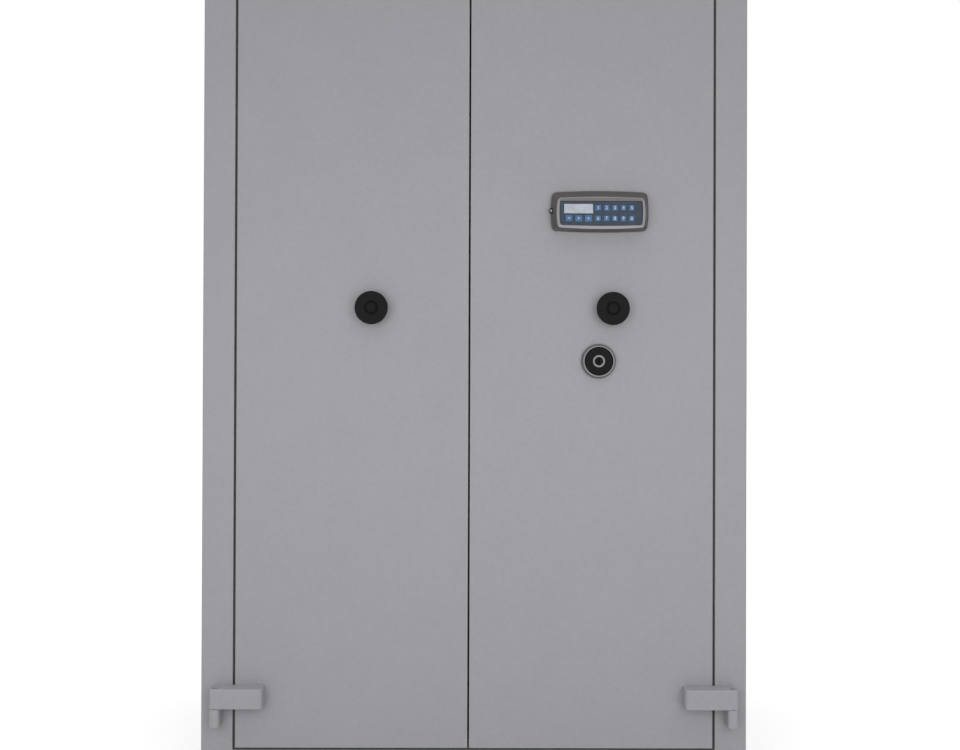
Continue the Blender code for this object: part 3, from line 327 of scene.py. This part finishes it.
def polished(name, colour, roughness):
    """Polished or satin metal with faint handling marks."""
    made, tree, shader = principled(name, colour, roughness, 1.0)
    marks = noise(tree, scale=120.0, detail=4.0)
    mottled(tree, shader, colour, ranged(tree, marks, 0.0, 1.0), spread=0.04)
    uneven(tree, shader, marks, roughness, less=0.03, more=0.05)
    return made


def moulded(name, colour, roughness, grain_scale, grain_depth, gloss=0.5):
    """Moulded plastic or rubber with a fine spark-eroded grain."""
    made, tree, shader = principled(name, colour, roughness)
    shader.inputs["Specular IOR Level"].default_value = gloss
    grain = noise(tree, grain_scale)
    cloud = noise(tree, scale=60.0, detail=3.0)
    mottled(tree, shader, colour, ranged(tree, cloud, 0.0, 1.0), spread=0.12)
    uneven(tree, shader, grain, roughness, less=0.06, more=0.06)
    bumped(tree, shader, grain, strength=0.25, distance=grain_depth)
    return made


LOOKS = {
    "body_paint": powder_coat("body_paint_finish", PAINT, 0.50),
    "interior_paint": powder_coat("interior_paint_finish", INSIDE_PAINT, 0.58),
    "steel": plated("zinc_plate", ZINC, 0.34, (1.0, 1.0, 0.06)),
    "chrome": polished("chrome_plate", CHROME, 0.14),
    "black_plastic": moulded("black_moulding", BLACK, 0.48, 1600.0, 0.00012, 0.17),
    "keypad_shell": polished("pewter_casting", PEWTER, 0.40),
    "keypad_foil": moulded("panel_print", PANEL_INK, 0.42, 2400.0, 0.00004, 0.20),
    "key_blue": moulded("key_moulding", KEY_BLUE, 0.38, 2600.0, 0.00004, 0.30),
    "display": moulded("display_window", DISPLAY_GREY, 0.25, 900.0, 0.00002),
}
# The rim's finish, lighter than the casting: partly polish, partly a painted highlight
RIM_LOOK_PAINTED_HIGHLIGHT = polished("polished_rim_painted_highlight", RIM_METAL_PAINTED_HIGHLIGHT, 0.18)
SEAL = moulded("seal_rubber", RUBBER, 0.70, 700.0, 0.0002)
PRINT = moulded("key_print", KEY_PRINT, 0.50, 2600.0, 0.00001)


def object_from(name, bm, look, body):
    """Turn a mesh drawn in the row frame into a piece that rides on a body."""
    mesh = bpy.data.meshes.new(name)
    bm.to_mesh(mesh)
    bm.free()
    mesh.materials.append(look)
    made = bpy.data.objects.new(name, mesh)
    bpy.context.scene.collection.objects.link(made)
    mesh.shade_smooth()
    mesh.set_sharp_from_angle(angle=math.radians(SHARP_ANGLE))
    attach(made, body)
    return made


def keep_flats(made):
    """Let the large faces of a piece shade as flat beside their roundings."""
    flats = made.modifiers.new("flats", "WEIGHTED_NORMAL")
    flats.keep_sharp = True


def skin(bm, rings):
    """Faces over closed rings of points, and the corners of the first and the last ring."""
    rows = [[bm.verts.new(point) for point in ring] for ring in rings]
    count = len(rows[0])
    for near, far in zip(rows, rows[1:]):
        for index in range(count):
            after = (index + 1) % count
            bm.faces.new((near[index], near[after], far[after], far[index]))
    return rows[0], rows[-1]


def faced_out(bm):
    """The same mesh with all its faces looking outwards."""
    bmesh.ops.recalc_face_normals(bm, faces=bm.faces)
    if bm.calc_volume(signed=True) < 0:
        bmesh.ops.reverse_faces(bm, faces=bm.faces)
    return bm


def loft(rings, capped=True):
    """A skin over closed rings of points, with its ends filled."""
    bm = bmesh.new()
    first, last = skin(bm, rings)
    if capped:
        bm.faces.new(first)
        bm.faces.new(last)
    return faced_out(bm)


def circle(x, z, radius, proud, segments=96):
    """A ring of points in front of the leaves."""
    points = []
    for step in range(segments):
        turn = 2 * math.pi * step / segments
        points.append((x + radius * math.cos(turn), FRONT - proud, z + radius * math.sin(turn)))
    return points


def rounded(profile, reach, steps=4):
    """A profile whose inner corners are rounded by short curves."""
    points = [profile[0]]
    for before, corner, after in zip(profile, profile[1:], profile[2:]):
        here = Vector(corner)
        back = Vector(before) - here
        on = Vector(after) - here
        size = min(reach, back.length * ROUND_SHARE, on.length * ROUND_SHARE)
        start = here + back.normalized() * size
        end = here + on.normalized() * size
        for step in range(steps + 1):
            t = step / steps
            points.append(tuple(start * (1 - t) ** 2 + here * 2 * t * (1 - t) + end * t ** 2))
    points.append(profile[-1])
    return points


def lathe(profile, x, z):
    """A turned solid from (radius, height in front of the leaf) points, from back to front."""
    return loft([circle(x, z, radius, proud) for radius, proud in profile])


def centre_of(node):
    """Middle of a CAD node's box."""
    low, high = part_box(node)
    return (low + high) / 2


def make_knob(side):
    """The turned knob: skirt, rolled rim, shallow dish and raised cap."""
    node = side + "_knob"
    low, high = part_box(node)
    middle = centre_of(node)
    rim = (high.x - low.x) / 2
    top = FRONT - low.y
    profile = [(KNOB_FOOT, KNOB_FOOT), (rim * KNOB_SKIRT, KNOB_FOOT)]
    profile += [(rim * out, top * up) for out, up in KNOB_PROFILE]
    profile += [(KNOB_TIP, top)]
    bm = lathe(rounded(profile, KNOB_ROUND), middle.x, middle.z)
    made = object_from(node + "_body", bm, LOOKS["black_plastic"], side + "_handle")
    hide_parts(node)


def make_key_lock():
    """Chrome cup with its rolled rim and collar, and the black insert between them."""
    low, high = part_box("key_lock_escutcheon")
    middle = centre_of("key_lock_escutcheon")
    edge = (high.x - low.x) / 2
    top = FRONT - low.y
    plug_low, plug_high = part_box("key_lock_plug")
    bore = (plug_high.x - plug_low.x) / 2 + LOCK_FIT
    disc_low, disc_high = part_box("key_lock_rosette")
    disc = (disc_high.x - disc_low.x) / 2
    collar = bore + COLLAR_WALL
    up = {name: top * share for name, share in CUP_HEIGHTS.items()}
    cup = [(bore, LOCK_FOOT), (edge, LOCK_FOOT), (edge, up["side"]), (edge - LOCK_CONE, up["cone"])]
    cup += [(edge - LOCK_LIP, up["lip"]), (disc + LOCK_GROOVE, up["lip"]), (disc + LOCK_FIT, up["groove"])]
    cup += [(collar, up["groove"]), (collar, up["collar"]), (collar - COLLAR_BREAK, up["crown"])]
    cup += [(bore + BORE_BREAK, up["crown"]), (bore, up["mouth"]), (bore, LOCK_HEM)]
    bm = lathe(rounded(cup, CUP_ROUND), middle.x, middle.z)
    made = object_from("key_lock_cup", bm, LOOKS["chrome"], "right_door")
    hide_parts("key_lock_escutcheon")
    inner = collar + LOCK_FIT
    up = {name: top * share for name, share in INSERT_HEIGHTS.items()}
    ring = [(inner, up["back"]), (disc, up["back"]), (disc, up["side"]), (disc * INSERT_EDGE, up["edge"])]
    ring += [(collar + BORE_BREAK, up["side"]), (inner, up["mouth"]), (inner, up["hem"])]
    bm = lathe(rounded(ring, INSERT_ROUND), middle.x, middle.z)
    made = object_from("key_lock_insert", bm, LOOKS["black_plastic"], "right_door")
    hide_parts("key_lock_rosette")


def cushion(width, height, corner, swell, drop, rise):
    """A ring of points in front of the leaves: a rounded rectangle with swelling ends and long sides."""
    half_x = width / 2 - swell[0]
    half_z = height / 2 - swell[1]
    ring = []
    for index, (way_x, way_z) in enumerate(((1, 1), (-1, 1), (-1, -1), (1, -1))):
        for step in range(CORNER_STEPS + 1):
            turn = math.radians(90.0 * (index + step / CORNER_STEPS))
            x = way_x * (half_x - corner) + corner * math.cos(turn)
            ring.append((x, way_z * (half_z - corner) + corner * math.sin(turn)))
        last_x, last_z = ring[-1]
        steps = SIDE_STEPS[index % 2]
        for step in range(1, steps):
            share = 1 - 2 * step / steps
            ring.append((last_x, last_z * share) if index % 2 else (last_x * share, last_z))
    points = []
    for x, z in ring:
        out_x = x + swell[0] * x / half_x * (1 - (z / half_z) ** 2)
        out_z = z + swell[1] * z / half_z * (1 - (x / half_x) ** 2)
        points.append((KEYPAD_X + out_x, FRONT - rise, KEYPAD_Z - drop + out_z))
    return points


def make_keypad_housing():
    """The cast housing: swelling sides, sloped shoulders, a rim lighter than the rest (partly its polish,
    partly a painted highlight) and the sunk window for the panel.
    """
    panel_low, panel_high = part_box("keypad_panel")
    panel_w = panel_high.x - panel_low.x
    panel_h = panel_high.z - panel_low.z
    panel_front = FRONT - panel_low.y
    fall = KEYPAD_Z - (panel_low.z + panel_high.z) / 2
    crest = 2 * RIM_CREST
    foot_w = CREST_WIDTH + crest + 2 * RIM_RUN[0]
    foot_h = CREST_HEIGHT + crest + 2 * RIM_RUN[1]
    rings = []
    for inset, rise in CASTING_SIDES:
        size = (KEYPAD_WIDTH - inset, KEYPAD_HEIGHT - inset)
        rings.append(cushion(*size, KEYPAD_CORNER, SWELL, 0.0, rise))
    grown, rise = CASTING_FOOT
    drop = FOOT_DROP * CASTING_FOOT_SHIFT
    rings.append(cushion(foot_w + grown, foot_h + grown, RIM_CORNER, SWELL, drop, rise))
    for grown, rise in RIM_FOOT:
        rings.append(cushion(foot_w + grown, foot_h + grown, RIM_CORNER, SWELL, FOOT_DROP, rise))
    for grown, rise in [(crest + out, rise) for out, rise in RIM_OUTSIDE] + list(RIM_INSIDE):
        size = (CREST_WIDTH + grown, CREST_HEIGHT + grown)
        rings.append(cushion(*size, RIM_CORNER - RIM_CREST, CREST_SWELL, FACE_DROP, rise))
    for grown, rise in WINDOW:
        size = (panel_w + grown, panel_h + grown)
        rings.append(cushion(*size, WINDOW_CORNER, (0.0, 0.0), fall, panel_front + rise))
    look = LOOKS["keypad_shell"]
    made = object_from("keypad_shell_casting", loft(rings), look, "right_door")
    # The rim's bands get the lighter metal as a painted highlight
    made.data.materials.append(RIM_LOOK_PAINTED_HIGHLIGHT)
    count = len(rings[0])
    for polygon in made.data.polygons:
        if min(polygon.vertices) // count in PAINTED_HIGHLIGHT_BANDS:
            polygon.material_index = 1
    keep_flats(made)
    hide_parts("keypad_housing")


def make_keypad_screw():
    """The domed screw on the shoulder at the housing's left end, over a black washer whose black is
    painted shade and a painted dark reflection below the dome.
    """
    end = KEYPAD_X - KEYPAD_WIDTH / 2
    seat = Vector((end + SEAT_INSET, FRONT - SEAT_PROUD, KEYPAD_Z + SEAT_LIFT))
    turn = Vector(SEAT_LEAN).normalized().to_track_quat("Z", "Y").to_matrix()
    spokes = [2 * math.pi * step / KEYPAD_SCREW_STEPS for step in range(KEYPAD_SCREW_STEPS)]
    # The washer's black plastic stands in for the dome's shadow and dark reflection
    pieces = (("head", KEYPAD_SCREW_HEAD, "chrome"), ("shade_washer", KEYPAD_SCREW_SHADE_WASHER, "black_plastic"))
    for name, profile, slot in pieces:
        rings = []
        for radius, rise in rounded(profile, SCREW_ROUND):
            ring = [(radius * math.cos(spoke), radius * math.sin(spoke), rise) for spoke in spokes]
            rings.append([seat + turn @ Vector(point) for point in ring])
        object_from("keypad_screw_" + name, loft(rings), LOOKS[slot], "right_door")


def print_on(key, body, text):
    """A printed mark in the middle of a key."""
    low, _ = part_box(key)
    middle = centre_of(key)
    curve = bpy.data.curves.new(key + "_print", "FONT")
    curve.body = text
    curve.size = DIGIT_SIZE
    curve.align_x = "CENTER"
    curve.align_y = "CENTER"
    curve.extrude = PRINT_RISE / 2
    curve.resolution_u = 3
    curve.materials.append(PRINT)
    made = bpy.data.objects.new(key + "_print", curve)
    bpy.context.scene.collection.objects.link(made)
    made.rotation_euler = (math.radians(90.0), 0.0, 0.0)
    made.location = (middle.x, low.y - PRINT_RISE, middle.z)
    bpy.context.view_layer.update()
    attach(made, body)


def make_prints():
    """Digits on the number keys and plain signs on the three function keys."""
    for digit in range(10):
        key = "number_key_" + str(digit)
        print_on(key, key + "_cap", str(digit))
    for letter, sign in (("a", "<"), ("b", ">"), ("c", "+")):
        key = "function_key_" + letter
        print_on(key, key + "_cap", sign)


def arc(centre, radius, start, end, steps=7):
    """Points of an arc in plan, with its angles in degrees."""
    turns = [math.radians(start + (end - start) * step / steps) for step in range(steps + 1)]
    return [(centre[0] + radius * math.cos(turn), centre[1] + radius * math.sin(turn)) for turn in turns]


def arm_plan(reach, half, front, pin_y, seat, inset):
    """Plan of a hinge arm, counted from the pin: rounded front corners and a back that swings clear."""
    end = max(ARM_END_ROUND - inset, SMALLEST_ROUND)
    barrel = max(BARREL_ROUND - inset, SMALLEST_ROUND)
    near = front + inset
    swing = seat - pin_y
    flank = math.degrees(math.acos((half - inset) / swing))
    points = arc((reach - inset - end, near + end), end, 360.0, 270.0)
    points += arc((barrel - half + inset, near + barrel), barrel, 270.0, 180.0)
    points += arc((0.0, pin_y), swing, 180.0 - flank, 90.0)
    return points + [(reach - inset, seat)]


def knuckle_plan(half, front, seat, inset):
    """Plan of a frame knuckle: a block with round front corners."""
    corner = max(KNUCKLE_ROUND - inset, SMALLEST_ROUND)
    side = half - inset
    near = front + inset + corner
    points = [(side, seat), (-side, seat)]
    points += arc((corner - side, near), corner, 180.0, 270.0)
    return points + arc((side - corner, near), corner, 270.0, 360.0)


def edge_steps(low, high, edges, steps=4):
    """Heights and insets up a block whose lower and upper edges are rounded."""
    lower, upper = edges
    turns = [math.radians(90.0 * step / steps) for step in range(steps + 1)]
    ways = [(1 - math.cos(turn), 1 - math.sin(turn)) for turn in turns]
    rows = [(low + lower * rise, lower * inset) for rise, inset in ways]
    return rows + [(high - upper * rise, upper * inset) for rise, inset in reversed(ways)]


def closed_edges(bm, row):
    """The edges round a ring of corners."""
    return [bm.edges.get(pair) for pair in zip(row, row[1:] + row[:1])]


def bored_block(rings, bore, is_through):
    """A skin over rings from the bottom up, with a round hole down from its top."""
    bm = bmesh.new()
    low, high = skin(bm, rings)
    bottom, mouth = skin(bm, bore)
    ends = [closed_edges(bm, high) + closed_edges(bm, mouth)]
    if is_through:
        ends.append(closed_edges(bm, low) + closed_edges(bm, bottom))
    else:
        bm.faces.new(low)
        bm.faces.new(bottom)
    for edges in ends:
        bmesh.ops.triangle_fill(bm, use_beauty=True, use_dissolve=False, edges=edges)
    return faced_out(bm)


def hinge_piece(node, bm, body):
    """A painted hinge piece that stands in for its plainer CAD node."""
    made = object_from(node + "_body", bm, LOOKS["body_paint"], body)
    keep_flats(made)
    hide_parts(node)


def make_hinge(side, level):
    """The arm on the leaf and the knuckle on the frame, with rounded corners and the pin's bore."""
    word = side + "_" + level + "_hinge"
    way = 1.0 if side == "left" else -1.0
    pin = centre_of(word + "_pin")
    pin_low, pin_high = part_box(word + "_pin")
    bore = (pin_high.x - pin_low.x) / 2 + BORE_FIT
    low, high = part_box(word + "_arm")
    half, reach = sorted((high.x - pin.x, pin.x - low.x))
    rings = []
    for z, inset in edge_steps(low.z, high.z, ARM_EDGES):
        plan = arm_plan(reach, half, low.y, pin.y, high.y, inset)
        rings.append([(pin.x + way * along, y, z) for along, y in plan])
    round_bore = arc((pin.x, pin.y), bore, 0.0, 360.0 - 360.0 / BORE_STEPS, BORE_STEPS - 1)
    holes = [[(x, y, z) for x, y in round_bore] for z in (low.z, high.z)]
    hinge_piece(word + "_arm", bored_block(rings, holes, True), side + "_door")
    low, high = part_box(word + "_knuckle")
    rings = []
    for z, inset in edge_steps(low.z, high.z, KNUCKLE_EDGES):
        plan = knuckle_plan(half, low.y, high.y, inset)
        rings.append([(pin.x + along, y, z) for along, y in plan])
    holes = [[(x, y, z) for x, y in round_bore] for z in (pin_low.z - BORE_FIT, high.z)]
    hinge_piece(word + "_knuckle", bored_block(rings, holes, False), "carcass")


def make_seal():
    """A rubber strip on the frame's stop, all round the opening."""
    _, side_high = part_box("left_side_panel")
    top_low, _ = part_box("top_panel")
    _, floor_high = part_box("floor_panel")
    inner_x = -side_high.x
    outer_x = inner_x + SEAL_LAP
    inner_top = top_low.z
    outer_top = inner_top + SEAL_LAP
    inner_low = floor_high.z
    outer_low = inner_low - SEAL_LAP
    stop = FRONT + STOP_DEPTH
    rings = []
    for inset, depth in ((0.0, 0.0), (0.0, -SEAL_DEPTH), (1.0, -SEAL_DEPTH), (1.0, 0.0)):
        x = outer_x + (inner_x + SEAL_INSET - outer_x) * inset
        high = outer_top + (inner_top + SEAL_INSET - outer_top) * inset
        low = outer_low + (inner_low - SEAL_INSET - outer_low) * inset
        y = stop + depth - SEAL_SINK
        rings.append([(-x, y, low), (x, y, low), (x, y, high), (-x, y, high)])
    rings.append(rings[0])
    bm = loft(rings, capped=False)
    bmesh.ops.remove_doubles(bm, verts=bm.verts, dist=JOIN_REACH)
    bmesh.ops.recalc_face_normals(bm, faces=bm.faces)
    object_from("door_seal", bm, SEAL, "carcass")


def screw_rings(x, y, z):
    """Rings of a pan head with a hexagon socket, standing on a face that looks along Y."""
    rings = []
    for share, rise, is_hexagon in PAN_HEAD:
        ring = []
        for step in range(SCREW_STEPS):
            turn = 2 * math.pi * step / SCREW_STEPS
            radius = SCREW_RADIUS * share
            if is_hexagon:
                radius *= math.cos(math.pi / 6) / math.cos(turn % (math.pi / 3) - math.pi / 6)
            ring.append((x + radius * math.cos(turn), y + SCREW_RISE * rise, z + radius * math.sin(turn)))
        rings.append(ring)
    return rings


def spread(low, high, pitch):
    """Evenly spaced places between two ends, about a pitch apart."""
    count = max(1, round((high - low) / pitch))
    return [low + (high - low) * step / count for step in range(count + 1)]


def make_cover_screws(side):
    """Pan-head screws round the edge of an inner cover, joined as one piece."""
    low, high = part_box(side + "_inner_cover")
    spots = []
    for z in spread(low.z + SCREW_INSET, high.z - SCREW_INSET, SCREW_PITCH):
        spots.append((low.x + SCREW_INSET, z))
        spots.append((high.x - SCREW_INSET, z))
    for x in spread(low.x + SCREW_INSET, high.x - SCREW_INSET, SCREW_PITCH)[1:-1]:
        spots.append((x, low.z + SCREW_INSET))
        spots.append((x, high.z - SCREW_INSET))
    whole = bmesh.new()
    for x, z in spots:
        part = loft(screw_rings(x, high.y + SCREW_LIFT, z))
        spare = bpy.data.meshes.new("spare")
        part.to_mesh(spare)
        part.free()
        whole.from_mesh(spare)
        bpy.data.meshes.remove(spare)
    object_from(side + "_cover_screws", whole, LOOKS["steel"], side + "_door")


def dress_nodes():
    """Give every CAD node its finish, and soften the edges of those that show theirs."""
    for entry in frame["record"]["subparts"]:
        node = nodes[entry["node"]]
        node.data.materials.clear()
        node.data.materials.append(LOOKS[entry["material_slot"]])
    for name, node in nodes.items():
        for ending, width in EDGE_WIDTHS.items():
            if name.endswith(ending) and name != "keypad_panel":
                soften(node, width)
        if "_key_" in name:
            soften(node, KEY_EDGE)


def soften(node, width):
    """Join a node's split corners and round its edges."""
    weld = node.modifiers.new("join", "WELD")
    weld.merge_threshold = JOIN_REACH
    flats = node.modifiers.new("flats", "DECIMATE")
    flats.decimate_type = "DISSOLVE"
    flats.angle_limit = math.radians(FLAT_ANGLE)
    edges = node.modifiers.new("edges", "BEVEL")
    edges.width = width
    edges.segments = 2
    edges.limit_method = "ANGLE"
    edges.angle_limit = math.radians(EDGE_ANGLE)
    edges.use_clamp_overlap = True
    edges.harden_normals = True


def seen_by(tree, names):
    """One where any of the named kinds of ray arrives, and nought elsewhere."""
    path = tree.nodes.new("ShaderNodeLightPath")
    value = path.outputs[names[0]]
    for name in names[1:]:
        node = tree.nodes.new("ShaderNodeMath")
        node.operation = "MAXIMUM"
        linked(tree, value, node.inputs[0])
        linked(tree, path.outputs[name], node.inputs[1])
        value = node.outputs["Value"]
    return value


def product(tree, value, factor):
    """A value times a number."""
    node = tree.nodes.new("ShaderNodeMath")
    node.operation = "MULTIPLY"
    node.inputs[1].default_value = factor
    linked(tree, value, node.inputs[0])
    return node.outputs["Value"]


def make_floor():
    """A pale floor that keeps the cabinet's shadow and reads as white behind it."""
    bm = bmesh.new()
    bmesh.ops.create_grid(bm, x_segments=1, y_segments=1, size=FLOOR_REACH)
    mesh = bpy.data.meshes.new("floor")
    bm.to_mesh(mesh)
    bm.free()
    floor = bpy.data.objects.new("floor", mesh)
    bpy.context.scene.collection.objects.link(floor)
    made, tree, shader = principled("floor_finish", FLOOR_COLOUR, roughness=0.8)
    mottled(tree, shader, FLOOR_COLOUR, noise(tree, scale=6.0), spread=0.01)
    white = seen_by(tree, ("Is Camera Ray", "Is Glossy Ray", "Is Transmission Ray"))
    glow = product(tree, white, FLOOR_GLOW)
    shader.inputs["Emission Color"].default_value = (1.0, 1.0, 1.0, 1.0)
    linked(tree, glow, shader.inputs["Emission Strength"])
    mesh.materials.append(made)


def blended(tree, value, level, factor):
    """A value that goes over to a fixed level."""
    node = tree.nodes.new("ShaderNodeMix")
    node.inputs["B"].default_value = level
    linked(tree, value, node.inputs["A"])
    linked(tree, factor, node.inputs["Factor"])
    return node.outputs["Result"]


def make_world():
    """Soft light from above and behind, and white all round for the camera and in reflections."""
    world = bpy.data.worlds.new("studio")
    bpy.context.scene.world = world
    world.use_nodes = True
    tree = world.node_tree
    background = tree.nodes["Background"]
    background.inputs["Color"].default_value = (1.0, 1.0, 1.0, 1.0)
    place = tree.nodes.new("ShaderNodeTexCoord")
    split = tree.nodes.new("ShaderNodeSeparateXYZ")
    linked(tree, place.outputs["Generated"], split.inputs["Vector"])
    even = ranged(tree, split.outputs["Z"], AROUND_LEVEL, SKY_LEVEL, *SKY_BAND)
    even = blended(tree, even, BEHIND_LEVEL, ranged(tree, split.outputs["Y"], 0.0, 1.0, *BEHIND_BAND))
    white = seen_by(tree, ("Is Camera Ray", "Is Glossy Ray", "Is Transmission Ray"))
    linked(tree, blended(tree, even, 1.0, white), background.inputs["Strength"])


def make_lamps():
    """Soft square lamps to the left and the right of the camera, which light without a reflection."""
    for name, (place, watts) in LAMPS.items():
        data = bpy.data.lights.new(name, "AREA")
        data.shape = "SQUARE"
        data.size = LAMP_SIZE
        data.energy = watts
        lamp = bpy.data.objects.new(name, data)
        bpy.context.scene.collection.objects.link(lamp)
        lamp.location = place
        lamp.visible_glossy = False
        lamp.visible_camera = False
        lamp.rotation_euler = (Vector(LAMP_AIM) - Vector(place)).to_track_quat("-Z", "Y").to_euler()


def make_camera():
    """The camera where the photographer stood."""
    data = bpy.data.cameras.new("camera")
    data.sensor_width = SENSOR
    data.lens = FOCAL_PIXELS * SENSOR / PHOTO_WIDTH
    camera = bpy.data.objects.new("camera", data)
    bpy.context.scene.collection.objects.link(camera)
    turn = Matrix.Rotation(CAMERA_YAW, 4, "Z")
    turn @= Matrix.Rotation(math.pi / 2 + CAMERA_PITCH, 4, "X")
    turn @= Matrix.Rotation(CAMERA_ROLL, 4, "Z")
    camera.matrix_world = Matrix.Translation(CAMERA_PLACE) @ turn
    bpy.context.scene.camera = camera


dress_nodes()
for word in ("left", "right"):
    make_knob(word)
    make_cover_screws(word)
    make_hinge(word, "lower")
    make_hinge(word, "upper")
make_key_lock()
make_keypad_housing()
make_keypad_screw()
make_prints()
make_seal()
make_floor()
make_world()
make_lamps()
make_camera()
bpy.context.scene.view_settings.view_transform = "Standard"
